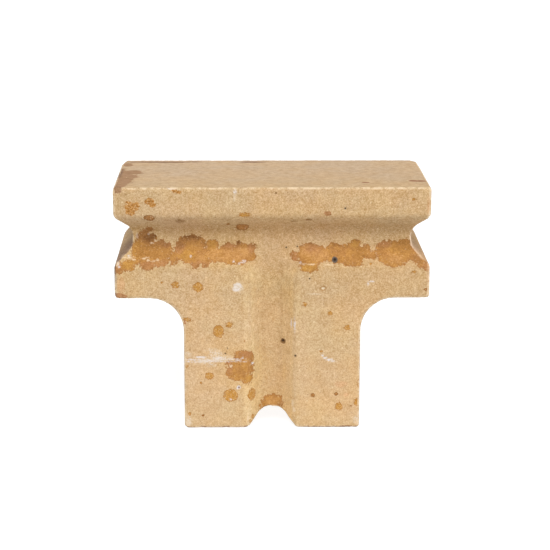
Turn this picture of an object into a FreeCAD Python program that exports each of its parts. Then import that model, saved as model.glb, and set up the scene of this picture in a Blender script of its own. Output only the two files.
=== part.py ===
# A hammerhead firebrick for a heating wall: one T-shaped piece of silica ceramic.
# It stands on the end of its stem. The front bed face has a T-shaped groove, the back bed face
# has the tongue that fits a neighbour's groove, and the free ends of head and stem are grooved too.
# Millimetres. X runs along the head, Y from the grooved bed to the tongued bed, Z up.
# The origin is the middle of the bounding box's underside.
import FreeCAD
import Part

import math
import os

# The T: a flat head across the top and a stem below its middle.
HEAD_WIDTH = 278.0
HEAD_THICKNESS = 100.0
STEM_WIDTH = 157.0
STEM_LENGTH = 120.0
COURSE_HEIGHT = 138.0
FLUE_CORNER_RADIUS = 30.0

# The groove section, the same on every grooved face.
GROOVE_DEPTH = 15.5
GROOVE_FLOOR = 4.0
GROOVE_ROOT_RADIUS = 13.5
GROOVE_LIP_RADIUS = 8.0
GROOVE_FLANK_DEGREES = 50.0
HEAD_GROOVE_BELOW_TOP = 48.0

# The plan radius that a groove's lip takes where the stem's groove opens into the head's.
JUNCTION_RADIUS = 12.0

# The mortar joint left all round a tongue in a neighbour's groove.
MORTAR_JOINT = 3.0

# The worn arrises of the moulded block, seen along Y and around the two bed faces.
CORNER_RADIUS = 3.0
ARRIS_RADIUS = 2.0

# How far a cutting shape runs past the face that it opens.
OVERRUN = 10.0

# Two points closer than this are the same point.
SAME_PLACE = 1e-6

HEIGHT = HEAD_THICKNESS + STEM_LENGTH
TONGUE_HEIGHT = GROOVE_DEPTH
FRONT_Y = -(COURSE_HEIGHT + TONGUE_HEIGHT) / 2
BACK_Y = FRONT_Y + COURSE_HEIGHT
GROOVE_Z = HEIGHT - HEAD_GROOVE_BELOW_TOP
FLANK = math.radians(GROOVE_FLANK_DEGREES)


def arc_through(start, angle, radius, turn):
    """Walks an arc from a point that heads along angle, and returns its middle, end and new heading."""
    side = 1 if turn > 0 else -1
    centre = (start[0] - side * radius * math.sin(angle), start[1] + side * radius * math.cos(angle))

    def at(swept):
        return (centre[0] + side * radius * math.sin(angle + swept),
                centre[1] - side * radius * math.cos(angle + swept))

    return at(turn / 2), at(turn), angle + turn


class Path2D:
    """A walk in a plane that turns into FreeCAD edges; place lifts a flat point into space."""

    def __init__(self, start, heading, place):
        self.point = start
        self.heading = heading
        self.place = place
        self.edges = []

    def line(self, length):
        end = (self.point[0] + length * math.cos(self.heading),
               self.point[1] + length * math.sin(self.heading))
        self.edges.append(Part.makeLine(self.place(self.point), self.place(end)))
        self.point = end

    def line_to(self, end):
        self.edges.append(Part.makeLine(self.place(self.point), self.place(end)))
        self.point = end

    def arc(self, radius, turn):
        middle, end, heading = arc_through(self.point, self.heading, radius, turn)
        three = [self.place(p) for p in (self.point, middle, end)]
        self.edges.append(Part.Arc(*three).toShape())
        self.point = end
        self.heading = heading

    def groove(self, root_radius=GROOVE_ROOT_RADIUS, lip_radius=GROOVE_LIP_RADIUS):
        """One groove, from lip to lip, dipping to the left of the walk."""
        flank = flank_length(root_radius, lip_radius)
        self.arc(lip_radius, FLANK)
        self.line(flank)
        self.arc(root_radius, -FLANK)
        self.line(GROOVE_FLOOR)
        self.arc(root_radius, -FLANK)
        self.line(flank)
        self.arc(lip_radius, FLANK)

    def face(self):
        return Part.Face(Part.Wire(self.edges))


def flank_length(root_radius, lip_radius):
    """The straight part of a flank between its two arcs."""
    arcs_take = (root_radius + lip_radius) * (1 - math.cos(FLANK))
    return (GROOVE_DEPTH - arcs_take) / math.sin(FLANK)


def half_mouth(root_radius=GROOVE_ROOT_RADIUS, lip_radius=GROOVE_LIP_RADIUS):
    """Half of a groove's width, out to where its lips meet the face."""
    arcs = (root_radius + lip_radius) * math.sin(FLANK)
    return GROOVE_FLOOR / 2 + arcs + flank_length(root_radius, lip_radius) * math.cos(FLANK)


def on_front(point):
    """A point of the outline, drawn in X and Z, on the front bed face."""
    return FreeCAD.Vector(point[0], FRONT_Y, point[1])


def outline():
    """The T seen from the front, walked anticlockwise, with its end grooves and rounded corners."""
    right = math.pi / 2
    mouth = half_mouth()
    below_groove = GROOVE_Z - mouth - STEM_LENGTH - CORNER_RADIUS
    above_groove = HEAD_GROOVE_BELOW_TOP - mouth - CORNER_RADIUS
    foot = STEM_WIDTH / 2 - mouth - CORNER_RADIUS
    stem_side = STEM_LENGTH - CORNER_RADIUS - FLUE_CORNER_RADIUS
    overhang = (HEAD_WIDTH - STEM_WIDTH) / 2 - FLUE_CORNER_RADIUS - CORNER_RADIUS

    path = Path2D((-STEM_WIDTH / 2 + CORNER_RADIUS, 0.0), 0.0, on_front)
    path.line(foot)
    path.groove()
    path.line(foot)
    path.arc(CORNER_RADIUS, right)
    path.line(stem_side)
    path.arc(FLUE_CORNER_RADIUS, -right)
    path.line(overhang)
    path.arc(CORNER_RADIUS, right)
    path.line(below_groove)
    path.groove()
    path.line(above_groove)
    path.arc(CORNER_RADIUS, right)
    path.line(HEAD_WIDTH - 2 * CORNER_RADIUS)
    path.arc(CORNER_RADIUS, right)
    path.line(above_groove)
    path.groove()
    path.line(below_groove)
    path.arc(CORNER_RADIUS, right)
    path.line(overhang)
    path.arc(FLUE_CORNER_RADIUS, -right)
    path.line(stem_side)
    path.arc(CORNER_RADIUS, right)
    return path.face()


def bar(place, along, root_radius, lip_radius, backing):
    """A straight bar with the groove's section, closed behind at a distance from the face."""
    mouth = half_mouth(root_radius, lip_radius)
    path = Path2D((-mouth, 0.0), 0.0, place)
    path.groove(root_radius, lip_radius)
    path.line_to((mouth, -backing))
    path.line_to((-mouth, -backing))
    path.line_to((-mouth, 0.0))
    return path.face().extrude(along)


def elbow(side, face_y, root_radius, lip_radius, backing):
    """Half the section swept round one inner corner of the T, with the floor filled in behind it."""
    mouth = half_mouth(root_radius, lip_radius)
    reach = mouth + JUNCTION_RADIUS
    behind = face_y - backing
    thickness = backing + GROOVE_DEPTH

    def beside_stem(point):
        return FreeCAD.Vector(side * reach, face_y + point[1], GROOVE_Z + point[0])

    path = Path2D((-mouth, 0.0), 0.0, beside_stem)
    path.arc(lip_radius, FLANK)
    path.line(flank_length(root_radius, lip_radius))
    path.arc(root_radius, -FLANK)
    path.line(GROOVE_FLOOR / 2)
    path.line_to((0.0, -backing))
    path.line_to((-mouth, -backing))
    path.line_to((-mouth, 0.0))
    centre = FreeCAD.Vector(side * reach, behind, GROOVE_Z - reach)
    along_y = FreeCAD.Vector(0, 1, 0)
    sweep = path.face().revolve(centre, along_y, -90 * side)

    lowest_x = min(0.0, side * reach)
    plate = Part.makeBox(reach, thickness, reach, FreeCAD.Vector(lowest_x, behind, GROOVE_Z - reach))
    drum = Part.makeCylinder(reach - GROOVE_FLOOR / 2, thickness, centre, along_y)
    return sweep.fuse(plate.cut(drum))


def bed_tee(face_y, root_radius, lip_radius, backing):
    """The T-shaped form of a groove or a tongue, from its backing out to GROOVE_DEPTH beyond face_y."""
    half = HEAD_WIDTH / 2 + OVERRUN

    def across_head(point):
        return FreeCAD.Vector(-half, face_y + point[1], GROOVE_Z + point[0])

    def across_stem(point):
        return FreeCAD.Vector(point[0], face_y + point[1], -OVERRUN)

    head_bar = bar(across_head, FreeCAD.Vector(2 * half, 0, 0), root_radius, lip_radius, backing)
    stem_bar = bar(across_stem, FreeCAD.Vector(0, 0, GROOVE_Z + OVERRUN), root_radius, lip_radius, backing)
    elbows = [elbow(side, face_y, root_radius, lip_radius, backing) for side in (-1, 1)]
    return head_bar.fuse([stem_bar] + elbows)


def perimeter(solid, y):
    """The edges of the outline that lie on the bed face at y."""
    return [e for e in solid.Edges if all(abs(v.Y - y) < SAME_PLACE for v in e.Vertexes)]


def brick():
    """The block, its back tongue and its front groove."""
    face = outline()
    block = face.extrude(FreeCAD.Vector(0, COURSE_HEIGHT, 0))
    block = block.makeFillet(ARRIS_RADIUS, perimeter(block, FRONT_Y) + perimeter(block, BACK_Y))

    tongue_tee = bed_tee(BACK_Y, GROOVE_ROOT_RADIUS - MORTAR_JOINT,
                         GROOVE_LIP_RADIUS + MORTAR_JOINT, ARRIS_RADIUS)
    reach = face.extrude(FreeCAD.Vector(0, COURSE_HEIGHT + TONGUE_HEIGHT + OVERRUN, 0))
    tongue = reach.common(tongue_tee)

    groove = bed_tee(FRONT_Y, GROOVE_ROOT_RADIUS, GROOVE_LIP_RADIUS, OVERRUN)
    return block.fuse(tongue).cut(groove).removeSplitter()


def main():
    os.makedirs("parts", exist_ok=True)
    shape = brick()
    solid = shape.Solids[0]
    box = solid.BoundBox
    print("solids", len(shape.Solids), "valid", solid.isValid(), "volume l", round(solid.Volume / 1e6, 3))
    print("box", box)
    solid.exportStep("parts/brick.step")


main()
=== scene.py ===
# %% [markdown]
# A hammerhead firebrick, seen as in a shop's photograph.
# The brick is one moulded and fired block of silica, T-shaped, with a groove down its front.
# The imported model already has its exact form, so this lesson keeps that form and adds what
# the kiln and years of handling did to it: sandy grain, worn arrises, iron stains and scuffs.

# %% Load the exact brick
import math

import bpy
import numpy as np
from mathutils import Matrix, Vector, noise
from mathutils.bvhtree import BVHTree


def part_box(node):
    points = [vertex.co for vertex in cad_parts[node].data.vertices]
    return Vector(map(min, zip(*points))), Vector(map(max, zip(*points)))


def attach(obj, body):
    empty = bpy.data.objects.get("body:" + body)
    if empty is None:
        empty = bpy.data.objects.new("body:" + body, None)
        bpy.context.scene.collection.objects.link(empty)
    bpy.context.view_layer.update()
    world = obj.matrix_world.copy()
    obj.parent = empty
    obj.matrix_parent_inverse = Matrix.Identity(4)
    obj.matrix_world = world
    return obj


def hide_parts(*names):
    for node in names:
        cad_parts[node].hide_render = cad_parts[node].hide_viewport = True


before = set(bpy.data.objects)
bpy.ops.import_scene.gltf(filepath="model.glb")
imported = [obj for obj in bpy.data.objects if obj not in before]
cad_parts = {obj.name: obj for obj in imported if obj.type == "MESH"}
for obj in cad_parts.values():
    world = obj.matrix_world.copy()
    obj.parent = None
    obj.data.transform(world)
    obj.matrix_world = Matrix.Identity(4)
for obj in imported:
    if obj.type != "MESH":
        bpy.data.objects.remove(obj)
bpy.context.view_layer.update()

MM = 0.001
low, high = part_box("brick")
print("the brick measures", [round(v / MM, 1) for v in high - low], "mm")

# %% [markdown]
# The camera comes first, because every mark on the brick is placed by looking through it.
# A camera in Blender looks down its own -Z axis with +Y up, so its matrix is made of three
# directions: right, up and backwards. They follow from how far it turns, tips and rolls.

# %% Set up the camera
PHOTO_SIDE = 550.0
SENSOR_MM = 36.0
LENS_MM = 113.2
CAMERA_PLACE = Vector((-0.0265, -1.5529, 0.5040))
CAMERA_TURN = math.radians(1.12)
CAMERA_TIP = math.radians(13.79)
CAMERA_ROLL = math.radians(0.13)

forward = Vector((math.sin(CAMERA_TURN) * math.cos(CAMERA_TIP),
                  math.cos(CAMERA_TURN) * math.cos(CAMERA_TIP),
                  -math.sin(CAMERA_TIP)))
level = Vector((math.cos(CAMERA_TURN), -math.sin(CAMERA_TURN), 0.0))
right = level * math.cos(CAMERA_ROLL) + level.cross(forward) * math.sin(CAMERA_ROLL)
up = right.cross(forward)

lens = bpy.data.cameras.new("photo_camera")
lens.lens = LENS_MM
lens.sensor_width = SENSOR_MM
lens.sensor_fit = "HORIZONTAL"
camera = bpy.data.objects.new("photo_camera", lens)
facing_back = Matrix((right, up, -forward)).transposed().to_4x4()
camera.matrix_world = Matrix.Translation(CAMERA_PLACE) @ facing_back
bpy.context.scene.collection.objects.link(camera)
bpy.context.scene.camera = camera
print("camera", [round(v, 3) for v in CAMERA_PLACE], "looks along", [round(v, 3) for v in forward])

# %% [markdown]
# A mark is easiest to name by where the photograph shows it. A ray from the camera through that
# pixel meets the brick at one point, and the mark goes there, so it sits on the right face and
# stays on it from every side. A BVH tree is Blender's fast way to find where a ray meets a mesh.

# %% Find the point of the brick behind a pixel
def tree_of(mesh):
    """A search tree of a mesh's faces."""
    points = [v.co for v in mesh.vertices]
    faces = [tuple(p.vertices) for p in mesh.polygons]
    return BVHTree.FromPolygons(points, faces)


exact_tree = tree_of(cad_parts["brick"].data)
PIXELS_PER_UNIT = LENS_MM / SENSOR_MM * PHOTO_SIDE
MIDDLE_OF_FRONT = (272.0, 290.0)


def seen_at(across, down):
    """The point of the brick that the photograph shows at a pixel, and what one pixel spans there."""
    ray = (forward + right * ((across - PHOTO_SIDE / 2) / PIXELS_PER_UNIT)
           - up * ((down - PHOTO_SIDE / 2) / PIXELS_PER_UNIT))
    point, _, _, distance = exact_tree.ray_cast(CAMERA_PLACE, ray.normalized())
    if point is None:
        raise ValueError(f"no brick behind pixel {across}, {down}")
    return point, distance / ray.length / PIXELS_PER_UNIT


_, pixel = seen_at(*MIDDLE_OF_FRONT)
print("one pixel spans", round(pixel / MM, 3), "mm on the front")

# %% [markdown]
# A brick straight from the mould has arrises of two or three millimetres and faces that are
# nearly flat. Nothing of that is kept by hand here: the Remesh modifier covers the exact form
# with a fine, even net of points, which later steps can push about.
# Voxels of 1.2 mm still show the arrises, and the net is thinned out at the end.

# %% Cover the form with an even net
NET_PITCH = 1.2 * MM


def bake_modifiers(piece):
    """Replaces a piece's mesh by what its modifiers make of it."""
    bpy.context.view_layer.update()
    seen = piece.evaluated_get(bpy.context.evaluated_depsgraph_get())
    made = bpy.data.meshes.new_from_object(seen)
    piece.modifiers.clear()
    old = piece.data
    piece.data = made
    bpy.data.meshes.remove(old)


brick = bpy.data.objects.new("fired_brick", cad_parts["brick"].data.copy())
brick.data.materials.clear()
bpy.context.scene.collection.objects.link(brick)
net = brick.modifiers.new("even net", "REMESH")
net.mode = "VOXEL"
net.voxel_size = NET_PITCH
bake_modifiers(brick)
print("net of", len(brick.data.vertices), "points")

# %% [markdown]
# Wear goes where a block sticks out. How sharply the net bends outward at a point says that:
# the neighbours of a point on an arris lie behind its own tangent plane, and on a flat face
# they lie in it. The result is kept as an attribute, because the finish needs it as well.

# %% Measure how exposed each point is
# One over the bend's radius in metres, where a bend starts to count as an arris and where it fully does.
ARRIS_BEND = (50.0, 170.0)
SMOOTHING_ROUNDS = 3
# Keeps an edge of no length from dividing by nothing.
SMALLEST_SQUARE = 1e-12


def points_and_normals(mesh):
    """The mesh's points and the outward directions there, one row each."""
    count = len(mesh.vertices)
    points = np.empty(count * 3)
    normals = np.empty(count * 3)
    mesh.vertices.foreach_get("co", points)
    mesh.vertex_normals.foreach_get("vector", normals)
    return points.reshape(-1, 3), normals.reshape(-1, 3)


def edge_ends(mesh):
    """The two point numbers of every edge."""
    ends = np.empty(len(mesh.edges) * 2, dtype=np.int64)
    mesh.edges.foreach_get("vertices", ends)
    return ends.reshape(-1, 2)


def neighbour_mean(values, ends):
    """Each point's value averaged with those of its neighbours."""
    total = values + 0.0
    count = np.ones(len(values))
    for a, b in ((0, 1), (1, 0)):
        np.add.at(total, ends[:, a], values[ends[:, b]])
        np.add.at(count, ends[:, a], 1.0)
    return total / count


def smoothstep(values, start, end):
    """Goes smoothly from 0 to 1 as the values go from start to end."""
    t = np.clip((values - start) / (end - start), 0.0, 1.0)
    return t * t * (3.0 - 2.0 * t)


points, normals = points_and_normals(brick.data)
ends = edge_ends(brick.data)
bend = np.zeros(len(points))
count = np.zeros(len(points))
for a, b in ((0, 1), (1, 0)):
    step = points[ends[:, b]] - points[ends[:, a]]
    length_squared = np.maximum((step ** 2).sum(1), SMALLEST_SQUARE)
    np.add.at(bend, ends[:, a], -2.0 * (step * normals[ends[:, a]]).sum(1) / length_squared)
    np.add.at(count, ends[:, a], 1.0)
bend /= count
for _ in range(SMOOTHING_ROUNDS):
    bend = neighbour_mean(bend, ends)
exposed = smoothstep(bend, *ARRIS_BEND)
on_arrises = int((exposed > 0.5).sum())
print("exposed points", on_arrises, "of", len(points), "bend up to", round(float(bend.max())))

# %% [markdown]
# The old faces are a little uneven and the arrises are bruised. Blender's noise gives a value
# for every place, so one function can describe a slow swell of the face, a finer unevenness and
# bruises that only count where the net is exposed. All of it goes inward, as wear does, and so
# the brick never grows past its real size.

# %% Wear the faces and bruise the arrises
# Each has the size of its features, how deep it goes and an offset that keeps the noises apart.
SWELL = (38.0 * MM, 0.18 * MM, 3.1)
UNEVEN = (6.0 * MM, 0.12 * MM, 11.7)
SANDY = (2.6 * MM, 0.10 * MM, 17.3)
# Bruises and nicks also have the noise value where they start and the one where they are deepest.
BRUISE = (9.0 * MM, 1.0 * MM, 23.9, 0.55, 0.88)
NICK = (3.2 * MM, 0.5 * MM, 41.3, 0.50, 0.85)
BARELY_EXPOSED = 0.02


def noise_at(places, size, offset):
    """Perlin noise between 0 and 1 with features of a size, moved by an offset."""
    shift = Vector((offset, -offset, 0.5 * offset))
    return np.array([0.5 + 0.5 * noise.noise(Vector(p) / size + shift) for p in places])


depth = np.zeros(len(points))
for size, deepest, offset in (SWELL, UNEVEN, SANDY):
    depth += deepest * noise_at(points, size, offset)
edge = exposed > BARELY_EXPOSED
bruised = np.zeros(len(points))
for size, deepest, offset, start, full in (BRUISE, NICK):
    bruised[edge] += deepest * smoothstep(noise_at(points[edge], size, offset), start, full)
depth += bruised * exposed
points -= normals * depth[:, None]
print("worn by up to", round(float(depth.max()) / MM, 2), "mm")

# %% [markdown]
# A few corners have lost more than that. Each is a flake that broke off along a plane, so the
# points beyond the plane are laid back on it.

# %% Break off the chipped corners
# Each chip has a point on its plane and the plane's outward direction.
CHIPS = [
    (Vector((-138.6, 37.0, 219.9)) * MM, Vector((-0.92, 0.18, 0.35))),
    (Vector((137.4, 50.0, 219.9)) * MM, Vector((0.78, 0.45, 0.43))),
    (Vector((-76.5, -76.7, 1.8)) * MM, Vector((-0.66, -0.30, -0.69))),
]
# The scar's roughness: the size of its features, how deep it goes and its offset.
SCAR = (2.5 * MM, 0.25 * MM, 5.0)


def break_off(places, on_plane, outward):
    """Lays the points beyond a plane back on it, with a rough surface."""
    size, deepest, offset = SCAR
    outward = np.array(outward.normalized())
    beyond = (places - np.array(on_plane)) @ outward
    hit = beyond > 0.0
    rough = deepest * noise_at(places[hit], size, offset)
    places[hit] -= outward * (beyond[hit] + rough)[:, None]
    return int(hit.sum())


for on_plane, outward in CHIPS:
    print("chip took", break_off(points, on_plane, outward), "points")

# %% [markdown]
# Small pits are burnt-out grains. Each is a round hollow, deepest in its middle. The list names
# the pixel of the photograph, the radius and the depth of each in millimetres.

# %% Sink the pits
# The share of a pit's radius that is flat, and how far its rim slopes out beyond the radius.
PIT_FLAT = 0.35
PIT_RIM = 0.9
PITS = [
    ((334.8, 259.8), 1.5, 1.6),
    ((283.0, 340.9), 1.7, 1.4),
    ((345.4, 208.5), 0.8, 1.0),
    ((242.9, 358.1), 1.0, 0.6),
    ((252.4, 363.0), 1.2, 0.6),
    ((238.8, 387.5), 1.2, 0.7),
    ((323.4, 288.6), 2.0, 0.8),
    ((318.9, 350.8), 1.5, 0.6),
    ((295.2, 355.9), 0.9, 0.8),
    ((301.1, 263.1), 1.2, 0.6),
]
for pixel_at, radius, sunk in PITS:
    centre, _ = seen_at(*pixel_at)
    away = np.linalg.norm(points - np.array(centre), axis=1)
    hollow = 1.0 - smoothstep(away, PIT_FLAT * radius * MM, (radius + PIT_RIM) * MM)
    points -= normals * (sunk * MM * hollow)[:, None]
print("sank", len(PITS), "pits")

# %% [markdown]
# Flat faces need few points and worn arrises need many. The Decimate modifier joins faces
# where the surface hardly bends, down to a little less than the library allows a piece.

# %% Thin the net
MOST_TRIANGLES = 190000


def triangles_in(mesh):
    """How many triangles a mesh's faces come to."""
    return sum(len(p.vertices) - 2 for p in mesh.polygons)


brick.data.vertices.foreach_set("co", points.ravel())
wear = brick.data.attributes.new("wear", "FLOAT", "POINT")
wear.data.foreach_set("value", exposed)
brick.data.update()
triangles = triangles_in(brick.data)
thin = brick.modifiers.new("thin out", "DECIMATE")
thin.ratio = min(1.0, MOST_TRIANGLES / triangles)
bake_modifiers(brick)
brick.data.shade_smooth()
print("triangles", triangles, "thinned to", triangles_in(brick.data))

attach(brick, "root")
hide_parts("brick")

# %% [markdown]
# The finish is a recipe of nodes. This small helper adds nodes with their inputs in one line,
# so that each part of the recipe stays short. All places are in millimetres, measured on the
# brick itself, so a grain is as large as it is on the real one.

# %% A helper for mixing finishes
class Recipe:
    """Adds nodes to a material or a sky and wires them."""

    def __init__(self, owner):
        owner.use_nodes = True
        self.tree = owner.node_tree
        self.tree.nodes.clear()
        self.coordinates = self.add("ShaderNodeTexCoord").outputs
        self.place = self.vector("MULTIPLY", self.coordinates["Object"], (1.0 / MM,) * 3)

    def add(self, kind, inputs=None, **settings):
        """A new node of a kind, with its inputs fed and its settings made."""
        made = self.tree.nodes.new(kind)
        for name, value in settings.items():
            setattr(made, name, value)
        for name, value in (inputs or {}).items():
            self.feed(made.inputs[name], value)
        return made

    def feed(self, socket, value):
        """Wires a socket to another node's output, or sets it to a plain value."""
        if isinstance(value, bpy.types.NodeSocket):
            self.tree.links.new(value, socket)
        else:
            socket.default_value = value

    def number(self, operation, *values):
        """The result of a sum on plain numbers or on other nodes' outputs."""
        made = self.add("ShaderNodeMath", operation=operation)
        for socket, value in zip(made.inputs, values):
            self.feed(socket, value)
        return made.outputs["Value"]

    def vector(self, operation, *values):
        """The result of a sum on places, directions or colours."""
        made = self.add("ShaderNodeVectorMath", operation=operation)
        for socket, value in zip(made.inputs, values):
            self.feed(socket, value)
        return made.outputs["Value" if operation == "LENGTH" else "Vector"]

    def grain(self, size, detail=2.0, stretch=(1.0, 1.0, 1.0), rough=0.5, offset=0.0):
        """Noise between 0 and 1 with features of a size in millimetres, longer along a stretch."""
        finer = tuple(1.0 / (size * s) for s in stretch)
        scaled = self.vector("MULTIPLY_ADD", self.place, finer, (offset,) * 3)
        made = self.add("ShaderNodeTexNoise", {"Vector": scaled, "Scale": 1.0, "Detail": detail,
                                               "Roughness": rough})
        return made.outputs["Fac"]

    def step(self, value, start, end, low=0.0, high=1.0):
        """Goes smoothly from low to high as a value goes from start to end."""
        made = self.add("ShaderNodeMapRange", {"Value": value, "From Min": start, "From Max": end,
                                               "To Min": low, "To Max": high},
                        interpolation_type="SMOOTHSTEP")
        return made.outputs["Result"]

    def blend(self, amount, first, second):
        """The first colour, going over to the second by an amount of 0 to 1."""
        made = self.add("ShaderNodeMix", data_type="RGBA")
        colours = [s for s in made.inputs if s.type == "RGBA"]
        self.feed(made.inputs["Factor"], amount)
        self.feed(colours[0], first)
        self.feed(colours[1], second)
        return next(s for s in made.outputs if s.type == "RGBA")

    def scaled(self, vector, factor):
        """A place or a colour, multiplied by one number."""
        made = self.add("ShaderNodeVectorMath", operation="SCALE")
        self.feed(made.inputs[0], vector)
        self.feed(made.inputs["Scale"], factor)
        return made.outputs["Vector"]

    def shaded(self, colour, shade, tint):
        """A colour made lighter or darker by a number, with each channel following as its tint says."""
        spread = self.add("ShaderNodeCombineXYZ", {"X": shade, "Y": shade, "Z": shade}).outputs["Vector"]
        by_channel = self.vector("MULTIPLY_ADD", spread, tint, tuple(1.0 - c for c in tint))
        return self.vector("MULTIPLY", colour, by_channel)

    def toned(self, amount, colour, after, before=(1.0, 1.0, 1.0)):
        """A colour with its channels multiplied by before, going over to after by an amount."""
        return self.blend(amount, self.vector("MULTIPLY", colour, before),
                          self.vector("MULTIPLY", colour, after))

    def all_of(self, *masks):
        """1 where every mask is 1: the masks and amounts are multiplied."""
        joined = masks[0]
        for mask in masks[1:]:
            joined = self.number("MULTIPLY", joined, mask)
        return joined

    def opposite(self, mask):
        """1 where a mask is 0, and 0 where it is 1."""
        return self.number("SUBTRACT", 1.0, mask)

    def scattered(self, cell, chosen, radius):
        """1 inside round grains of a radius, one to a cell of a size, for a share of the cells."""
        placed = self.vector("DIVIDE", self.place, (cell,) * 3)
        cells = self.add("ShaderNodeTexVoronoi", {"Vector": placed, "Scale": 1.0})
        dice = self.add("ShaderNodeSeparateColor", {"Color": cells.outputs["Color"]}).outputs[0]
        inside = self.step(cells.outputs["Distance"], radius / cell, 0.5 * radius / cell)
        return self.all_of(inside, self.number("GREATER_THAN", dice, 1.0 - chosen))


# The studio throws this much more light on the brick's front than a screen's white shows.
LIGHT_ON_FRONT = 1.38


def paint(red, green, blue):
    """The linear colour that shows on the lit front as this screen colour, 0 to 255."""
    values = [c / 255.0 for c in (red, green, blue)]
    linear = [c / 12.92 if c <= 0.04045 else ((c + 0.055) / 1.055) ** 2.4 for c in values]
    return tuple(c / LIGHT_ON_FRONT for c in linear) + (1.0,)


print("helper ready, buff is", [round(c, 3) for c in paint(213, 178, 134)])

# %% [markdown]
# Fired silica is buff, and slightly pinker or yellower from place to place. The head's top was
# struck off along its length while the mix was wet and is smoother and greyer. Surfaces under an
# overhang and the bottom of the head's groove get painted shade: their colour is made darker.

# %% Mix the fired body
finish = Recipe(bpy.data.materials.new("fired silica"))
at = finish.add("ShaderNodeSeparateXYZ", {"Vector": finish.place}).outputs
facing = finish.add("ShaderNodeSeparateXYZ", {"Vector": finish.coordinates["Normal"]}).outputs

# Places on the brick in millimetres.
TOP = high.z / MM
FRONT = low.y / MM
HEAD_END = high.x / MM
GROOVE_DEPTH = 15.5
AXIS_BELOW_TOP = 48.0
GROOVE_BOTTOM = FRONT + GROOVE_DEPTH
GROOVE_AXIS = TOP - AXIS_BELOW_TOP

swelling = finish.step(finish.grain(50.0), 0.35, 0.65)
clouds = finish.step(finish.grain(13.0, 3.0), 0.42, 0.72, 0.0, 0.5)
body = finish.blend(swelling, paint(214, 181, 135), paint(216, 180, 136))
body = finish.blend(clouds, body, paint(203, 165, 117))

on_top = finish.all_of(finish.step(facing["Z"], 0.75, 0.95), finish.step(at["Z"], TOP - 6.0, TOP - 4.0))
towards_front = finish.step(at["Y"], FRONT + 70.0, FRONT)
top_tone = finish.blend(towards_front, paint(216, 185, 148), paint(217, 184, 141))
body = finish.blend(on_top, body, top_tone)

# Where the clay is yellower it reflects less blue and a little more red.
YELLOW_TINT = (-0.45, 0.0, 1.0)
yellowing = finish.number("ADD", finish.grain(16.0, 3.0, rough=0.65, offset=31.0),
                          finish.grain(55.0, 1.0, offset=37.0))
body = finish.shaded(body, finish.step(yellowing, 0.75, 1.25, 1.045, 0.955), YELLOW_TINT)
print("the groove's axis is", round(GROOVE_AXIS, 1), "mm up")

# %% Paint shade on the undersides and in the head's groove
# Painted shade: the share of the body's colour kept in the head's groove and on undersides.
PAINTED_SHADE_IN_GROOVE = (0.91, 0.865, 0.785)
PAINTED_SHADE_UNDERNEATH = (0.90, 0.87, 0.80)

turned_front = finish.step(facing["Y"], -0.2, -0.5)
at_front = finish.step(at["Y"], GROOVE_BOTTOM + 6.0, GROOVE_BOTTOM + 3.0)
in_front_groove = finish.all_of(finish.step(at["Y"], FRONT + 1.5, FRONT + 6.0), at_front, turned_front)
above_groove_axis = finish.all_of(finish.step(at["Z"], GROOVE_AXIS + 17.5, GROOVE_AXIS + 10.0),
                                  finish.step(at["Z"], GROOVE_AXIS - 5.0, GROOVE_AXIS + 8.0))
body = finish.toned(finish.all_of(above_groove_axis, in_front_groove), body, PAINTED_SHADE_IN_GROOVE)
underneath = finish.all_of(finish.step(facing["Z"], 0.05, -0.7), finish.opposite(turned_front))
body = finish.toned(underneath, body, PAINTED_SHADE_UNDERNEATH)
print("soot leaves", PAINTED_SHADE_IN_GROOVE, "of the light in the groove")

# %% [markdown]
# Light and shade are painted into the stem's groove: its flanks are painted lighter, its lips get
# a painted highlight, and its bottom gets painted shade, most on the right side and low down.
# Each tone is three factors, for red, green and blue, so that it keeps the grain and clouds of the
# body under it.

# %% Paint light and shade into the stem's groove
# Painted shade on the groove's bottom, painted light on its flanks, painted highlights on its lips.
PAINTED_SHADE_LEFT_BOTTOM = (1.0, 0.98, 0.91)
PAINTED_SHADE_RIGHT_BOTTOM = (0.93, 0.89, 0.79)
PAINTED_SHADE_LOW_BOTTOM = (0.96, 0.935, 0.88)
PAINTED_LIGHT_LEFT_FLANK = (1.13, 1.155, 1.12)
PAINTED_LIGHT_RIGHT_FLANK = (1.13, 1.12, 1.03)
PAINTED_HIGHLIGHT_LEFT_LIP = (1.09, 1.13, 1.16)
PAINTED_HIGHLIGHT_RIGHT_LIP = (1.07, 1.09, 1.08)
PAINTED_SHADE_BELOW_HEAD_GROOVE = (0.95, 0.955, 0.965)

off_axis = finish.number("ABSOLUTE", at["X"])
on_right = finish.step(at["X"], -2.0, 2.0)
on_stem = finish.all_of(finish.step(at["Z"], GROOVE_AXIS - 20.0, GROOVE_AXIS - 32.0), at_front)
low_down = finish.step(at["Z"], 80.0, 50.0)
bottom = finish.toned(finish.step(at["X"], 4.5, 9.5), body, PAINTED_SHADE_RIGHT_BOTTOM, before=PAINTED_SHADE_LEFT_BOTTOM)
bottom = finish.blend(low_down, bottom, finish.vector("MULTIPLY", body, PAINTED_SHADE_LOW_BOTTOM))
flanks = finish.toned(on_right, body, PAINTED_LIGHT_RIGHT_FLANK, before=PAINTED_LIGHT_LEFT_FLANK)
on_flank = finish.step(finish.number("ABSOLUTE", facing["X"]), 0.40, 0.72)
in_stem_groove = finish.all_of(in_front_groove, on_stem, finish.step(off_axis, 30.0, 26.0))
body = finish.blend(in_stem_groove, body, finish.blend(on_flank, bottom, flanks))
on_lip = finish.all_of(finish.step(off_axis, 14.5, 18.0), finish.step(off_axis, 27.0, 22.5),
                       on_stem, turned_front)
body = finish.blend(on_lip, body, finish.toned(on_right, body, PAINTED_HIGHLIGHT_RIGHT_LIP, before=PAINTED_HIGHLIGHT_LEFT_LIP))
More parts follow.
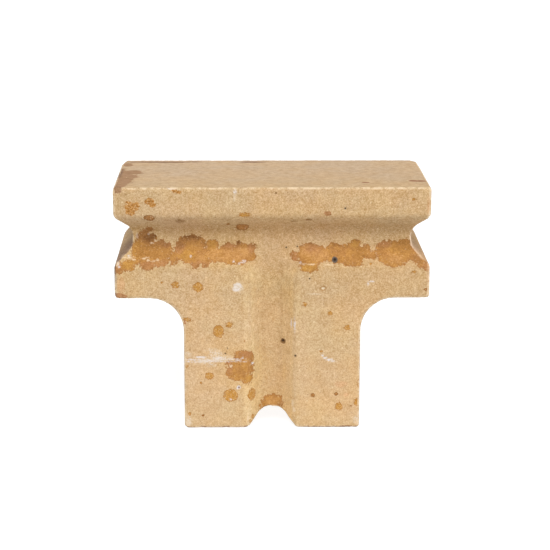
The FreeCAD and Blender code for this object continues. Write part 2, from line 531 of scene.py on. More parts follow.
# Painted shade: the front just below the head's groove is made a little darker.
below_groove = finish.all_of(finish.step(at["Z"], GROOVE_AXIS - 6.0, GROOVE_AXIS - 18.0),
                             finish.step(at["Z"], GROOVE_AXIS - 64.0, GROOVE_AXIS - 50.0),
                             finish.step(facing["Y"], -0.5, -0.9),
                             finish.step(at["X"], -60.0, 100.0, 0.4, 1.0))
body = finish.toned(below_groove, body, PAINTED_SHADE_BELOW_HEAD_GROOVE)

# The colour grows darker from the foot of the stem towards the head's top.
duller_upwards = {"Value": at["Z"], "From Min": 0.0, "From Max": TOP, "To Min": 1.03, "To Max": 0.91}
upward_darkening = finish.add("ShaderNodeMapRange", duller_upwards).outputs["Result"]
print("the body so far has", len(finish.tree.nodes), "nodes")

# %% [markdown]
# Iron in the clay bleeds out in the kiln as rust-brown stains with ragged edges. A stain is a
# union of ellipsoids: for each, how many millimetres inside it a place lies is worked out, the
# largest counts, and noise is added before the edge is drawn, so that lobes run into one
# another. The lists name each lobe by its pixel and its half width and height in pixels.

# %% A function that draws marks
# A mark reaches behind the face by so many times its size, within a least and a most in millimetres.
DEPTH_SHARE = 2.5
MARK_DEPTH = (5.0, 30.0)
# A mark whose centre is this near to the top lies on the top.
TOP_REACH = 0.8


def marks(lobes, ragged, size=3.5, merge=0.0):
    """How far inside the nearest lobe a place is, in millimetres, with a ragged edge."""
    nearest = None
    for across, down, half_width, half_height in lobes:
        centre, span = seen_at(across, down)
        centre = centre / MM
        span = span / MM
        wide = half_width * span
        tall = half_height * span
        if centre.z > TOP - TOP_REACH:
            radii = (wide, tall / math.sin(CAMERA_TIP), MARK_DEPTH[0])
        else:
            radii = (wide, min(max(DEPTH_SHARE * max(wide, tall), MARK_DEPTH[0]), MARK_DEPTH[1]), tall)
        least = min(radii)
        offset = tuple(-c / r for c, r in zip(centre, radii))
        relative = finish.vector("MULTIPLY_ADD", finish.place, tuple(1.0 / r for r in radii), offset)
        distance = finish.number("MULTIPLY_ADD", finish.vector("LENGTH", relative), -least, least)
        if nearest is None:
            nearest = distance
        elif merge:
            nearest = finish.number("SMOOTH_MAX", nearest, distance, merge)
        else:
            nearest = finish.number("MAXIMUM", nearest, distance)
    wander = finish.grain(size, 4.0, rough=0.68)
    return finish.number("ADD", nearest, finish.number("MULTIPLY_ADD", wander, 2.0 * ragged, -ragged))


def daub(under, lobes, tint, ragged, size, edge, amount=1.0):
    """A colour with a tint over it inside marks. It fades in from the first edge distance to the second."""
    strength = finish.step(marks(lobes, ragged, size), *edge, 0.0, amount)
    return finish.blend(strength, under, tint)


print("a mark reaches", MARK_DEPTH[0], "to", MARK_DEPTH[1], "mm behind the face")

# %% Draw the iron stains
GROOVE_STAINS = [
    (149.5, 229.0, 4.0, 3.2), (144.0, 232.5, 5.5, 3.5), (146.0, 238.5, 10.5, 6.5), (152.0, 237.5, 4.8, 5.0),
    (141.5, 249.0, 10.0, 10.0), (152.0, 251.0, 15.0, 9.0), (161.0, 245.5, 6.5, 6.5), (166.0, 250.5, 6.0, 8.5),
    (137.0, 258.5, 8.0, 6.0), (150.0, 260.5, 14.0, 6.5), (148.5, 266.5, 5.5, 4.2), (164.0, 261.5, 5.0, 4.8),
    (128.0, 265.5, 8.5, 5.6), (119.0, 267.5, 4.0, 6.0), (118.0, 271.5, 2.6, 3.2), (173.4, 257.4, 5.2, 7.2),
    (184.0, 243.5, 8.0, 7.5), (192.5, 241.0, 9.5, 6.8), (200.5, 243.0, 6.0, 7.0), (180.5, 251.0, 7.0, 9.5),
    (191.5, 253.0, 13.0, 9.5), (201.0, 256.0, 9.0, 8.5), (196.5, 264.0, 5.0, 4.6), (205.5, 262.0, 6.5, 4.6),
    (212.5, 246.0, 6.8, 7.0), (214.5, 254.5, 9.5, 7.2),
    (229.0, 253.5, 12.0, 10.0), (241.0, 253.0, 13.5, 9.5), (238.2, 243.0, 2.0, 2.4), (252.0, 247.0, 4.4, 3.8),
    (251.5, 256.5, 4.6, 4.6),
    (294.8, 256.0, 4.8, 5.2), (309.5, 255.0, 12.0, 11.5), (308.5, 266.0, 9.4, 6.6), (319.5, 254.0, 9.5, 7.8),
    (333.0, 252.5, 9.0, 9.2), (342.0, 254.5, 9.0, 8.5), (351.5, 254.5, 13.0, 11.0), (356.0, 243.5, 5.2, 4.0),
    (365.5, 251.0, 6.0, 6.6), (354.5, 260.5, 9.0, 5.6), (372.0, 254.8, 5.5, 4.2),
    (384.0, 251.0, 9.0, 10.5), (393.5, 253.5, 15.0, 12.5), (404.0, 250.0, 9.0, 11.0),
    (407.5, 242.5, 3.8, 4.4), (412.5, 254.0, 5.0, 6.6), (417.5, 259.5, 4.6, 4.2), (421.5, 263.0, 4.4, 4.6),
    (426.2, 267.0, 4.0, 5.0),
]
STEM_STAINS = [
    (243.5, 357.0, 10.5, 6.4), (249.0, 358.5, 5.4, 7.2), (230.5, 362.8, 4.8, 3.0), (241.0, 367.0, 13.0, 8.0),
    (232.5, 373.0, 6.8, 5.8), (240.5, 375.0, 9.5, 6.6), (247.5, 378.5, 5.8, 5.4), (249.5, 369.0, 4.2, 9.0),
    (249.4, 378.5, 3.2, 5.6), (273.0, 400.5, 10.8, 6.8), (264.5, 403.5, 3.5, 4.6), (260.6, 407.0, 2.2, 4.4),
    (282.0, 402.5, 1.8, 4.4),
]
STAIN_RAGGED = 5.0
stain = marks(GROOVE_STAINS + STEM_STAINS, STAIN_RAGGED, 3.4, merge=0.8)
inside_stain = finish.step(stain, -0.12, 0.22)

# Iron creeps on as a faint yellow beyond the edge of a stain.
creep = finish.step(stain, -9.0, -0.5, 0.0, 0.6)
creep_shade = finish.number("MULTIPLY_ADD", creep, -0.09, 1.0)
body = finish.shaded(body, creep_shade, (0.0, 0.15, 1.0))
print("drew", len(GROOVE_STAINS), "lobes in the groove and", len(STEM_STAINS), "on the stem")

# %% [markdown]
# Rust isn't one colour. Where the iron lay thick it is deep brown, and elsewhere golden, sandy or
# reddish. Each tone is laid on in soft marks over the one before it, and the whole of it is then
# put on the body inside the stains, so that no tone can reach beyond a stain's edge.

# %% Colour the rust
mottled = finish.step(finish.grain(7.0, 3.0, offset=7.0), 0.38, 0.62)
rust = finish.blend(mottled, paint(194, 139, 70), paint(180, 126, 66))
rust_specks = finish.step(finish.grain(1.3, 2.0, offset=3.0), 0.58, 0.72, 0.0, 0.4)
rust = finish.blend(rust_specks, rust, paint(210, 160, 100))
GOLDEN = [
    (128.0, 264.5, 7.0, 5.0), (137.0, 250.0, 5.0, 7.0), (212.5, 245.5, 5.0, 5.0), (186.5, 254.0, 7.0, 5.0),
    (355.0, 244.0, 4.0, 4.0), (400.0, 247.5, 9.0, 4.5), (308.0, 268.0, 7.0, 4.0), (250.0, 379.0, 4.0, 4.5),
]
rust = daub(rust, GOLDEN, paint(198, 145, 66), ragged=4.0, size=4.0, edge=(-2.5, 2.0), amount=0.7)
SANDY_RUST = [
    (232.0, 255.0, 12.0, 4.0), (243.0, 252.0, 7.0, 5.0), (214.0, 254.0, 6.0, 4.0), (221.0, 259.0, 5.0, 3.0),
    (310.0, 251.0, 9.0, 6.0), (320.0, 255.0, 8.0, 5.0), (163.0, 262.5, 4.0, 2.0), (396.0, 258.0, 7.0, 2.5),
    (149.0, 234.4, 1.6, 1.5), (201.0, 259.0, 5.0, 4.0), (272.0, 401.0, 6.0, 3.0),
]
rust = daub(rust, SANDY_RUST, paint(208, 155, 94), ragged=4.0, size=4.0, edge=(-2.5, 2.0), amount=0.65)
DEEP_RUST = [
    (150.0, 251.0, 14.0, 6.5), (167.0, 252.0, 5.0, 7.0), (360.0, 253.0, 6.0, 5.0), (403.0, 246.5, 9.0, 6.0),
]
rust = daub(rust, DEEP_RUST, paint(177, 124, 60), ragged=4.0, size=4.0, edge=(-2.5, 1.5), amount=0.9)
REDDISH = [
    (148.0, 266.0, 12.0, 4.0), (163.0, 264.0, 7.0, 3.0), (118.0, 269.0, 3.0, 5.0), (178.5, 248.0, 6.0, 5.0),
    (166.0, 243.0, 5.0, 4.0), (200.0, 265.0, 12.0, 3.5), (228.0, 245.5, 9.0, 3.0), (252.0, 248.0, 5.0, 5.0),
    (294.0, 256.0, 5.0, 5.0), (313.0, 248.0, 8.0, 3.5), (384.0, 243.5, 7.0, 3.0), (426.0, 268.0, 3.5, 4.0),
    (229.0, 367.0, 3.5, 9.0), (246.0, 354.0, 8.0, 3.5),
]
rust = daub(rust, REDDISH, paint(180, 124, 80), ragged=4.0, size=4.0, edge=(-2.0, 1.8), amount=0.65)
rim = finish.step(stain, 1.5, 0.1, 0.0, 0.75)
rust = finish.blend(rim, rust, paint(164, 111, 64))
SINGED = [
    (149.5, 229.0, 5.0, 4.0), (146.0, 235.0, 10.0, 6.0), (150.0, 241.0, 9.0, 3.0), (163.0, 242.0, 8.0, 4.0),
    (190.5, 238.5, 13.0, 3.0), (180.0, 245.0, 4.0, 4.0), (205.0, 266.0, 12.0, 2.0), (417.0, 260.0, 6.0, 5.0),
]
rust = daub(rust, SINGED, paint(167, 115, 64), ragged=4.0, size=3.5, edge=(-1.8, 1.8), amount=0.75)
BURNT = [
    (150.5, 237.5, 6.5, 4.0), (154.0, 236.0, 3.5, 4.0), (190.5, 236.5, 11.0, 2.0), (238.0, 242.5, 2.5, 2.0),
]
rust = daub(rust, BURNT, paint(138, 90, 44), ragged=4.0, size=3.5, edge=(-1.6, 1.6), amount=0.9)

# Painted shade: stains are made darker where they reach up to the bottom of the groove, under its lip.
PAINTED_SHADE_ON_STAINS = (0.89, 0.87, 0.86)
near_bottom = finish.step(at["Z"], GROOVE_AXIS - 12.0, GROOVE_AXIS - 6.0)
rust = finish.toned(finish.all_of(near_bottom, in_front_groove), rust, PAINTED_SHADE_ON_STAINS)

# Crumbs of bare brick show near a stain's edge.
crumbs = finish.all_of(finish.scattered(2.2, 0.4, 0.75), finish.step(stain, 4.0, 0.8))
stained = finish.all_of(inside_stain, finish.number("MULTIPLY_ADD", crumbs, -0.6, 0.95))
body = finish.blend(stained, body, rust)
toned_places = len(GOLDEN) + len(SANDY_RUST) + len(DEEP_RUST) + len(REDDISH) + len(SINGED) + len(BURNT)
print("toned the rust in", toned_places, "places")

# %% [markdown]
# Smaller iron spots are scattered over the whole front. They are speckled, so their amount is
# broken up by a fine grain, and a few are redder or dark brown.

# %% Draw the small spots
ORANGE_SPOTS = [
    (244.6, 214.8, 6.0, 2.6), (175.4, 285.0, 3.8, 3.6), (198.0, 287.4, 5.2, 5.2), (218.3, 331.3, 5.5, 6.5),
    (229.3, 324.6, 3.6, 3.0), (209.4, 376.0, 4.4, 3.8), (230.8, 395.4, 7.2, 6.6), (251.8, 394.2, 4.0, 6.4),
    (304.9, 304.3, 2.4, 2.2), (330.5, 313.6, 2.4, 2.5), (347.0, 327.7, 3.0, 2.8), (339.0, 406.6, 3.9, 4.2),
    (357.0, 402.2, 3.2, 4.0), (358.2, 383.5, 1.4, 3.4), (189.7, 414.0, 1.4, 1.4), (186.8, 366.5, 1.2, 1.6),
    (200.9, 383.0, 1.0, 1.0), (250.6, 421.0, 1.7, 2.2), (252.8, 416.6, 1.7, 2.6), (413.8, 199.5, 1.7, 1.3),
    (414.0, 272.0, 2.0, 1.5), (187.5, 319.6, 4.5, 1.9), (370.5, 263.8, 1.5, 1.3), (162.0, 282.6, 1.8, 0.9),
    (244.9, 340.9, 1.0, 1.0), (321.3, 351.2, 1.6, 1.3),
]
spots = marks(ORANGE_SPOTS, 2.6, 2.2)
spot_tone = finish.blend(finish.step(spots, 1.2, 0.1), paint(196, 142, 68), paint(172, 118, 54))
speckle = finish.step(finish.grain(1.2, 2.0, offset=5.0), 0.40, 0.54, 0.6, 1.0)
on_spots = finish.all_of(finish.step(spots, -0.3, 0.3), speckle)
body = finish.blend(on_spots, body, spot_tone)
BURNT_SPOTS = [
    (132.0, 207.5, 6.8, 4.6), (130.5, 211.5, 4.8, 4.6), (128.0, 203.0, 2.6, 1.6), (136.5, 205.5, 3.0, 3.6),
    (149.5, 201.5, 5.0, 3.4), (152.5, 205.0, 3.6, 2.4), (174.6, 190.8, 2.6, 1.7), (178.4, 192.2, 2.4, 1.8),
]
beads = finish.step(finish.grain(1.5, 2.0, offset=43.0), 0.42, 0.60)
bead_tone = finish.blend(beads, paint(206, 152, 86), paint(168, 110, 44))
bead_amount = finish.step(finish.grain(1.1, 2.0, offset=47.0), 0.36, 0.52, 0.72, 1.0)
on_burnt = finish.all_of(finish.step(marks(BURNT_SPOTS, 2.5, 1.8), -0.3, 0.3), bead_amount)
body = finish.blend(on_burnt, body, bead_tone)

# %% Draw the brown spots and the faint tints
RED_BROWN_SPOTS = [
    (327.7, 213.6, 3.9, 2.7), (118.5, 295.6, 5.0, 3.0), (123.5, 296.6, 4.2, 2.2), (184.9, 322.5, 1.4, 2.4),
    (203.4, 415.3, 1.4, 0.8), (307.5, 219.6, 1.6, 1.2),
]
red_brown = finish.step(marks(RED_BROWN_SPOTS, 1.8, 2.2), -0.2, 0.3, 0.0, 0.9)
body = finish.blend(red_brown, body, paint(182, 130, 86))
DARK_BROWN_SPOTS = [
    (242.3, 227.0, 6.8, 4.1), (149.5, 218.2, 6.2, 3.4), (336.2, 394.0, 1.8, 1.8),
    (425.7, 289.3, 1.8, 1.8), (228.2, 224.3, 2.0, 1.1), (313.0, 395.2, 2.2, 2.1), (350.8, 405.8, 0.8, 0.8),
    (125.2, 194.4, 1.6, 0.9), (203.4, 415.3, 1.5, 0.9),
]
dark_brown = marks(DARK_BROWN_SPOTS, 1.8, 2.2)
dark_tone = finish.blend(finish.step(dark_brown, 1.4, 0.2), paint(180, 124, 68), paint(146, 97, 48))
dark_speckle = finish.step(speckle, 0.6, 1.0, 0.8, 0.98)
on_dark = finish.all_of(finish.step(dark_brown, -0.2, 0.3), dark_speckle)
body = finish.blend(on_dark, body, dark_tone)
FADED_SPOTS = [(180.4, 221.2, 4.8, 2.6), (309.0, 219.6, 3.0, 1.4), (293.0, 221.4, 3.0, 1.0)]
body = daub(body, FADED_SPOTS, paint(158, 119, 76), ragged=1.8, size=2.2, edge=(-0.6, 0.6), amount=0.75)
PEACH = [
    (429.2, 206.0, 1.8, 8.0), (121.0, 285.0, 4.0, 8.0), (346.3, 394.8, 2.4, 2.2), (341.0, 384.0, 6.0, 3.0),
]
body = daub(body, PEACH, paint(220, 164, 118), ragged=1.8, size=3.0, edge=(-1.2, 1.2), amount=0.4)
OLIVE = [(119.0, 202.0, 5.0, 10.0), (126.0, 195.0, 7.0, 4.0)]
body = daub(body, OLIVE, paint(201, 170, 122), ragged=3.0, size=5.0, edge=(-2.5, 2.0), amount=0.5)
brown_spots = len(RED_BROWN_SPOTS) + len(DARK_BROWN_SPOTS) + len(FADED_SPOTS)
print("drew", len(ORANGE_SPOTS) + len(BURNT_SPOTS), "orange and", brown_spots, "brown spots")

# %% [markdown]
# The head's top has a grey-brown patch at its left end and two thin rusty streaks, all drawn out
# along the direction in which the mix was struck off, and painted shade along its back arris.
# The lower flank of the groove in the left end gets painted shade, and the right one painted light.

# %% Stain the top and paint light and shade into the end grooves
TOP_PATCH = [
    (131.5, 172.5, 11.0, 3.2), (127.0, 176.5, 11.0, 3.8), (123.5, 181.0, 9.5, 4.2), (119.5, 185.0, 6.6, 3.0),
    (127.5, 164.6, 6.0, 2.0), (122.0, 172.0, 5.0, 5.0), (119.0, 177.5, 4.0, 4.5), (117.0, 182.5, 3.5, 4.0),
]
streaky = finish.grain(1.5, 3.0, stretch=(6.0, 2.4, 1.0))


def streaked(distance, swing, inset):
    """A mark's distance drawn out into streaks by noise, which adds up to swing and takes off inset."""
    return finish.number("MULTIPLY_ADD", streaky, swing, finish.number("ADD", distance, -inset))


patch = streaked(marks(TOP_PATCH, 2.0, 6.0, merge=2.0), 7.0, 3.5)
body = finish.blend(finish.step(patch, -0.4, 0.6, 0.0, 0.92), body, paint(177, 135, 97))
CORNER_STAIN = [(117.5, 187.5, 3.6, 1.4), (118.0, 190.5, 3.6, 3.0), (115.8, 190.0, 2.0, 3.6)]
corner_stain = finish.step(marks(CORNER_STAIN, 1.6, 2.2), -0.4, 0.4, 0.0, 0.9)
body = finish.blend(corner_stain, body, paint(166, 126, 92))
TOP_STREAKS = [(365.6, 182.4, 4.0, 0.7), (418.8, 180.8, 9.0, 1.0), (413.0, 180.4, 4.5, 0.9)]
body = daub(body, TOP_STREAKS, paint(170, 118, 84), ragged=0.8, size=2.0, edge=(-0.5, 0.5), amount=0.95)
# Painted shade: broken dark streaks along the back top arris, where it turns away from the light.
PAINTED_SHADE_BACK_ARRIS = [(162.0, 161.9, 35.0, 0.9), (252.0, 161.9, 13.0, 0.9), (120.0, 173.0, 2.5, 6.0)]
painted_shade_back_streaks = streaked(marks(PAINTED_SHADE_BACK_ARRIS, 1.6, 5.0), 5.0, 2.4)
body = finish.blend(finish.step(painted_shade_back_streaks, -1.0, 0.6, 0.0, 0.85), body, paint(150, 114, 86))

# Painted shade in the left end groove and painted light in the right one, on all but the upper flank, fading
# towards the back.
END_GROOVE_AMOUNT = 0.9
in_end_groove = finish.all_of(finish.step(facing["Z"], -0.55, -0.15),
                              finish.step(at["Z"], GROOVE_AXIS + 20.0, GROOVE_AXIS + 12.0),
                              finish.step(at["Y"], FRONT + 100.0, FRONT + 15.0, 0.1, 1.0),
                              finish.step(finish.grain(9.0, 4.0, rough=0.65), 0.3, 0.6, 0.6, 1.0),
                              finish.step(off_axis, HEAD_END - 21.0, HEAD_END - 16.0))
# Painted shade on the left end's lower flank, painted light on the right end's, palest higher up.
painted_shade_left_end = finish.all_of(in_end_groove, finish.step(facing["X"], -0.15, -0.5), END_GROOVE_AMOUNT)
body = finish.blend(painted_shade_left_end, body, paint(139, 108, 90))
lightened = finish.all_of(in_end_groove, finish.step(facing["X"], 0.05, 0.35), END_GROOVE_AMOUNT)
higher_up = finish.step(at["Z"], GROOVE_AXIS - 18.0, GROOVE_AXIS - 4.0)
body = finish.blend(lightened, body, finish.blend(higher_up, paint(218, 177, 136), paint(254, 224, 198)))
print("stained the top in", len(TOP_PATCH) + len(TOP_STREAKS) + len(PAINTED_SHADE_BACK_ARRIS), "places")

# %% [markdown]
# The back and the flue sides were never in the picture. They get the same body, and a scatter
# of iron spots from a Voronoi texture, kept off the front, where every spot has its place.
# Bending the texture's places with noise first keeps the spots from being round.

# %% Spot the hidden faces
# How many millimetres behind the front spots start to show, and where they are whole.
KEPT_OFF = (24.0, 34.0)
# The size of a cell, the share of cells with a spot, and the largest spot's radius.
SMALL_SPOTS = (24.0, 0.45, 4.5)
LARGE_SPOTS = (70.0, 0.5, 11.0)

behind = finish.step(at["Y"], FRONT + KEPT_OFF[0], FRONT + KEPT_OFF[1])
hidden = finish.all_of(behind, finish.opposite(on_top))
bend_noise = finish.add("ShaderNodeTexNoise", {"Vector": finish.place, "Scale": 0.35, "Detail": 3.0})
sway_noise = finish.add("ShaderNodeTexNoise", {"Vector": finish.place, "Scale": 0.07, "Detail": 2.0})
bent = finish.vector("ADD", finish.place, finish.scaled(bend_noise.outputs["Color"], 5.0))
bent = finish.vector("ADD", bent, finish.scaled(sway_noise.outputs["Color"], 24.0))


def random_spots(cell, chosen, largest):
    """1 inside irregular spots of random sizes up to a radius, for a share of the cells."""
    placed = finish.vector("DIVIDE", bent, (cell,) * 3)
    cells = finish.add("ShaderNodeTexVoronoi", {"Vector": placed, "Scale": 1.0})
    dice = finish.add("ShaderNodeSeparateColor", {"Color": cells.outputs["Color"]}).outputs
    radius = finish.step(dice[0], 1.0 - chosen, 1.0, 0.25 * largest / cell, largest / cell)
    spot = finish.step(finish.number("SUBTRACT", cells.outputs["Distance"], radius), 0.4 / cell, -0.4 / cell)
    return finish.all_of(spot, finish.number("GREATER_THAN", dice[0], 1.0 - chosen))


blots = finish.number("MAXIMUM", random_spots(*SMALL_SPOTS), random_spots(*LARGE_SPOTS))
body = finish.blend(finish.all_of(blots, hidden, 0.85), body, rust)
print("the hidden spots stay", KEPT_OFF[0], "mm off the front")

# %% [markdown]
# Close up the brick is sand: pale quartz grains and darker ones in a matrix, about a millimetre
# across, and it shows through the stains as well. A Voronoi texture scatters one point to a
# cell. The cell's random colour picks which points count, and the distance to the point draws a
# grain around it.

# %% Sand it
# Pale grains are whiter than the body and dark ones browner, so blue swings more than red.
SAND_TINT = (0.78, 1.0, 1.46)

sand = finish.grain(1.25, 4.0, rough=0.75)
coarse_sand = finish.grain(3.2, 2.0, offset=9.0)
sand_shade = finish.all_of(finish.step(sand, 0.28, 0.72, 0.70, 1.28),
                           finish.step(coarse_sand, 0.3, 0.7, 0.90, 1.08))
streaks = finish.grain(1.0, 3.0, stretch=(6.0, 4.0, 1.0), rough=0.6)
streak_shade = finish.all_of(finish.step(streaks, 0.25, 0.65, 0.84, 1.07),
                             finish.step(coarse_sand, 0.3, 0.7, 0.95, 1.04),
                             finish.step(sand, 0.3, 0.7, 0.91, 1.08))
mixed_shade = finish.add("ShaderNodeMix", {"Factor": on_top}, data_type="FLOAT")
finish.feed(mixed_shade.inputs["A"], sand_shade)
finish.feed(mixed_shade.inputs["B"], streak_shade)
# The foot of the stem is smoother than the head.
sand_strength = finish.step(at["Z"], 20.0, 150.0, 0.84, 1.06)
swing = finish.number("SUBTRACT", mixed_shade.outputs["Result"], 1.0)
body = finish.shaded(body, finish.number("MULTIPLY_ADD", swing, sand_strength, 1.0), SAND_TINT)
body = finish.scaled(body, upward_darkening)
print("the sand is", len(finish.tree.nodes), "nodes into the finish")

# %% Scatter the grains and pores
# Each is the size of its cells, the share of them that has a grain, and the grain's radius.
QUARTZ = (2.3, 0.35, 0.8)
LARGE_QUARTZ = (8.0, 0.4, 1.0)
IRON_GRAINS = (2.9, 0.35, 0.7)
PORES = (5.2, 0.55, 0.58)
quartz = finish.all_of(finish.scattered(*QUARTZ), finish.opposite(on_top),
                       finish.step(inside_stain, 0.0, 1.0, 1.0, 0.4))
large_quartz = finish.all_of(finish.scattered(*LARGE_QUARTZ), finish.step(inside_stain, 0.0, 1.0, 0.6, 0.2))
iron_grains = finish.scattered(*IRON_GRAINS)
for grains, amount, tint in ((quartz, 0.40, paint(232, 205, 165)),
                             (iron_grains, 0.45, paint(158, 114, 68)),
                             (large_quartz, 1.0, paint(240, 216, 176)),
                             (finish.scattered(*PORES), 0.6, paint(118, 82, 48))):
    body = finish.blend(finish.all_of(grains, amount), body, tint)
print("quartz grains are", 2.0 * QUARTZ[2], "mm across and pores", 2.0 * PORES[2])

# %% Burn in the dark pits
DARK_PITS = [
    (334.8, 259.8, 1.6, 1.6), (283.0, 340.8, 1.3, 1.4), (345.4, 208.5, 1.1, 1.1), (295.2, 355.9, 1.1, 1.1),
    (286.2, 247.4, 1.0, 1.0), (297.3, 246.3, 0.9, 0.9), (309.7, 278.6, 0.9, 0.9),
    (225.4, 353.5, 0.9, 0.8), (227.5, 348.4, 0.7, 1.0),
]
HALO = [(334.8, 259.8, 3.0, 3.0)]
body = daub(body, HALO, paint(96, 88, 82), ragged=0.5, size=2.0, edge=(-0.3, 0.4), amount=0.9)
SOFT_PITS = [(283.0, 341.0, 2.6, 2.8), (275.9, 193.0, 1.2, 1.1)]
body = daub(body, SOFT_PITS, paint(118, 79, 38), ragged=0.9, size=2.0, edge=(-0.6, 0.6), amount=0.85)
body = daub(body, DARK_PITS, paint(44, 34, 26), ragged=0.5, size=2.0, edge=(-0.5, 0.7), amount=0.92)
print("burnt", len(DARK_PITS), "pits")

# %% [markdown]
# Handling left pale scuffs, where a harder brick rubbed off or lime dust stuck. A scuff only
# catches the high grains, so its amount follows a noise that is stretched along the stroke.

# %% Scuff it
SCUFFS = [
    (192.0, 359.6, 7.0, 0.7), (201.5, 357.4, 4.6, 1.1), (209.0, 360.6, 9.0, 0.8), (219.0, 358.4, 5.5, 1.5),
    (229.5, 359.4, 8.0, 0.6), (205.0, 361.8, 20.0, 0.4), (237.4, 360.0, 2.8, 1.2), (242.6, 358.0, 0.9, 0.9),
    (237.6, 286.2, 3.8, 3.2), (236.0, 289.0, 3.4, 2.4),
    (322.5, 355.5, 1.2, 1.0), (325.5, 357.8, 2.0, 1.0), (329.5, 359.8, 3.0, 1.0), (332.5, 361.3, 2.5, 0.7),
    (243.6, 261.6, 2.0, 1.3), (239.8, 263.4, 1.3, 0.9), (233.6, 261.2, 0.9, 0.9), (190.7, 256.5, 0.9, 0.9),
    (128.8, 256.4, 1.1, 0.9), (118.4, 263.5, 0.8, 1.6), (119.0, 267.0, 0.9, 1.1),
    (235.0, 192.0, 1.5, 2.2), (300.6, 263.0, 0.8, 0.8), (171.5, 188.8, 3.2, 0.6),
    (368.0, 283.5, 0.8, 1.6), (372.0, 281.6, 1.8, 0.8), (252.4, 363.2, 1.3, 1.0), (231.0, 399.4, 0.9, 0.8),
    (238.7, 387.6, 2.1, 2.1),
    (294.6, 325.5, 0.9, 5.5), (291.3, 323.0, 0.6, 3.0),
]
chalk = marks(SCUFFS, 1.8, 1.5)
catch = finish.step(finish.grain(1.3, 3.0, stretch=(2.2, 1.0, 1.0), offset=13.0), 0.38, 0.58, 0.35, 1.0)
chalk_amount = finish.all_of(finish.step(chalk, -0.7, 0.6), catch)
body = finish.blend(chalk_amount, body, paint(230, 221, 216))

CREAM_CRUMBS = [
    (124.0, 257.4, 3.0, 0.6), (131.0, 257.4, 2.2, 0.7), (134.0, 259.5, 1.6, 0.7), (143.9, 258.7, 1.3, 0.6),
    (148.2, 260.1, 1.2, 0.8), (153.2, 261.4, 1.6, 0.5), (157.4, 260.0, 1.2, 0.7), (152.2, 243.0, 1.4, 0.6),
    (155.0, 240.3, 0.9, 1.2), (147.0, 257.9, 1.6, 0.4), (329.6, 265.0, 3.4, 0.6), (311.3, 264.4, 3.2, 0.5),
    (292.6, 403.4, 1.2, 3.4), (293.8, 409.5, 1.4, 3.0), (248.0, 419.0, 0.9, 3.2), (231.0, 366.2, 1.4, 1.2),
    (319.7, 350.0, 0.9, 0.8),
]
body = daub(body, CREAM_CRUMBS, paint(238, 211, 174), ragged=1.8, size=1.5, edge=(-0.6, 0.6), amount=0.8)
PIT_IN_CHALK = [(238.9, 387.6, 1.0, 1.0)]
body = daub(body, PIT_IN_CHALK, paint(128, 84, 74), ragged=0.4, size=2.0, edge=(-0.4, 0.4), amount=0.85)
print("scuffed", len(SCUFFS), "places and stuck on", len(CREAM_CRUMBS), "crumbs")

# %% Dust it and draw the burst grain
DUSTY = [
    (216.0, 355.5, 7.0, 6.0), (211.0, 350.5, 4.0, 2.0), (206.0, 361.0, 8.0, 3.0), (212.0, 365.0, 4.0, 2.0),
    (188.0, 354.5, 3.0, 2.5), (224.0, 358.5, 8.0, 3.0), (238.0, 287.5, 5.0, 5.0), (188.5, 420.5, 3.6, 5.0),
    (356.0, 419.0, 3.0, 4.0),
]
powder = finish.step(finish.grain(1.2, 3.0, offset=21.0), 0.40, 0.60, 0.1, 0.75)
dust = finish.all_of(finish.step(marks(DUSTY, 3.0, 2.0), -1.8, 2.0), powder)
body = finish.blend(dust, body, paint(230, 214, 193))
FAINT_RUBS = [
    (137.0, 235.6, 1.0, 2.4), (148.7, 234.3, 1.0, 1.0), (303.5, 264.4, 1.6, 0.6), (315.0, 294.0, 4.5, 0.7),
    (188.5, 423.0, 2.4, 3.4), (234.5, 198.0, 1.2, 3.0),
]
body = daub(body, FAINT_RUBS, paint(236, 220, 198), ragged=1.6, size=1.5, edge=(-0.7, 0.6), amount=0.36)

# One grain burst and left a pale crater with a brown brim.
CRATER = [(323.2, 288.6, 3.4, 2.2)]
crater = marks(CRATER, 0.7, 2.0)
brim = finish.all_of(finish.step(crater, -0.6, 0.1), finish.step(crater, 1.0, 0.4, 0.0, 0.6))
body = finish.blend(brim, body, paint(164, 122, 70))
body = finish.blend(finish.step(crater, 0.7, 1.3, 0.0, 0.75), body, paint(238, 222, 192))
print("lightened", len(DUSTY), "places and rubbed", len(FAINT_RUBS))

# %% [markdown]
# A thin brown line is drawn along the bottom edge of the stem's end, a few millimetres high.

# %% Darken the foot's bottom edge
LINE_TOPS = (0.9, 2.5)
line_top = finish.step(finish.grain(4.0, 3.0, offset=27.0), 0.35, 0.65, *LINE_TOPS)
above_floor = finish.number("SUBTRACT", line_top, at["Z"])
brown_foot_line = finish.step(above_floor, -0.3, 0.6, 0.0, 0.85)
body = finish.blend(brown_foot_line, body, paint(142, 100, 70))
print("the foot is dirty up to", LINE_TOPS[1], "mm")

# %% [markdown]
# Arrises are rubbed paler than the faces, and the paler colour is also a painted highlight. The
# wear attribute says where they are, and noise breaks the line up. Then everything meets in one
# shader: a dry, rough ceramic whose stains are a little glassier, with the grain raised as a bump
# too small for the net.

# %% Put the finish together
# Arrises that stay as brown as the stains beside them.
UNRUBBED = [(427.0, 266.0, 4.0, 6.0), (114.5, 270.5, 3.0, 5.0)]

worn = finish.add("ShaderNodeAttribute", attribute_name="wear").outputs["Fac"]
broken_line = finish.step(finish.grain(5.0, 4.0, rough=0.65), 0.40, 0.58, 0.1, 0.9)
kept_brown = finish.step(marks(UNRUBBED, 1.5, 2.0), -0.5, 0.5)
for brown in (corner_stain, brown_foot_line, red_brown):
    kept_brown = finish.number("MAXIMUM", kept_brown, brown)
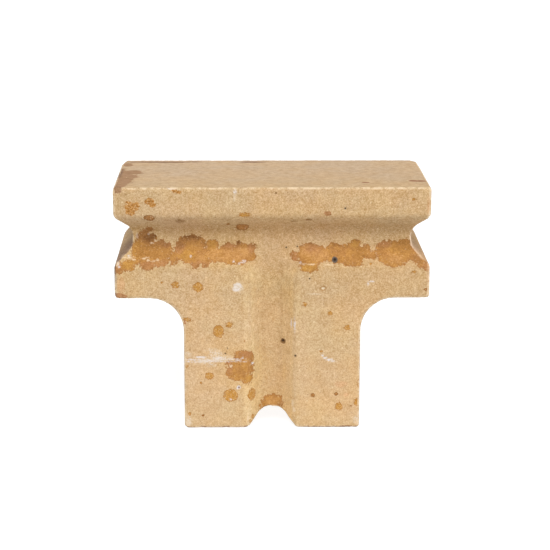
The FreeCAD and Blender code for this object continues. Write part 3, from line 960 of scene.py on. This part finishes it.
# Paler arrises: partly real wear, partly a painted highlight.
worn_and_highlit = finish.all_of(finish.step(worn, 0.42, 1.0), broken_line, finish.opposite(kept_brown))
body = finish.blend(worn_and_highlit, body, paint(236, 211, 176))

dry = finish.step(sand, 0.3, 0.7, 0.84, 0.96)
roughness = finish.number("SUBTRACT", dry, finish.number("MULTIPLY", inside_stain, 0.12))
relief = finish.number("MULTIPLY_ADD", quartz, 0.3, sand)
relief = finish.number("SUBTRACT", relief, finish.number("MULTIPLY", iron_grains, 0.4))
bump = finish.add("ShaderNodeBump", {"Height": relief, "Strength": 0.6, "Distance": 0.4 * MM})
ceramic = {"Base Color": body, "Roughness": roughness, "Specular IOR Level": 0.15,
           "Normal": bump.outputs["Normal"]}
surface = finish.add("ShaderNodeBsdfPrincipled", ceramic)
finish.add("ShaderNodeOutputMaterial", {"Surface": surface.outputs["BSDF"]})
brick.data.materials.append(bpy.data.materials["fired silica"])
print("the finish has", len(finish.tree.nodes), "nodes")

# %% [markdown]
# A pale floor and soft studio light, as in a catalogue picture. Suns with a wide spread act like
# large softboxes far away: they light the floor evenly out to the horizon. The main one hangs
# high in front, a weaker one lights the right side low down, and one behind, to the left, shows the
# tongue's relief and lifts the head's top.
# The sky is white at the horizon and dimmer overhead, so that the grooves keep their depth.

# %% Lay the floor and light the studio
FLOOR_HALF = 20.0
PAPER = {"Base Color": (0.22, 0.22, 0.22, 1.0), "Roughness": 0.95, "Specular IOR Level": 0.0,
         "Emission Color": (1.0, 1.0, 1.0, 1.0), "Emission Strength": 0.9}

floor_mesh = bpy.data.meshes.new("floor")
corners = [(x * FLOOR_HALF, y * FLOOR_HALF, 0.0) for x, y in ((-1, -1), (1, -1), (1, 1), (-1, 1))]
floor_mesh.from_pydata(corners, [], [(0, 1, 2, 3)])
floor = bpy.data.objects.new("floor", floor_mesh)
bpy.context.scene.collection.objects.link(floor)
paper = bpy.data.materials.new("white paper")
paper.use_nodes = True
for name, value in PAPER.items():
    paper.node_tree.nodes["Principled BSDF"].inputs[name].default_value = value
floor_mesh.materials.append(paper)

# Where the sky dims, from the horizon up, and how bright it is below and above that.
DIMMING = (0.10, 0.30)
SKY_LIGHT = (0.97, 0.2)
SUN_SPREAD = math.radians(40.0)

studio = bpy.data.worlds.new("studio")
sky = Recipe(studio)
height = sky.add("ShaderNodeSeparateXYZ", {"Vector": sky.coordinates["Generated"]}).outputs["Z"]
brightness = sky.step(height, *DIMMING, *SKY_LIGHT)
glow = sky.add("ShaderNodeBackground", {"Color": (1.0, 1.0, 1.0, 1.0), "Strength": brightness})
sky.add("ShaderNodeOutputWorld", {"Surface": glow.outputs["Background"]})
bpy.context.scene.world = studio


def soft_sun(name, turned, raised, strength):
    """A wide, far-off lamp, turned right of the camera's side and raised above the floor, in degrees."""
    turned = math.radians(turned)
    raised = math.radians(raised)
    lamp = bpy.data.lights.new(name, "SUN")
    lamp.energy = strength
    lamp.angle = SUN_SPREAD
    outward = math.cos(raised)
    towards = Vector((math.sin(turned) * outward, -math.cos(turned) * outward, math.sin(raised)))
    hung = bpy.data.objects.new(name, lamp)
    hung.rotation_euler = towards.to_track_quat("Z", "Y").to_euler()
    bpy.context.scene.collection.objects.link(hung)


soft_sun("key", turned=0.0, raised=53.0, strength=3.35)
soft_sun("side", turned=70.0, raised=30.0, strength=0.75)
soft_sun("back", turned=198.0, raised=26.0, strength=1.15)
bpy.context.scene.view_settings.view_transform = "Standard"
print("studio lit")
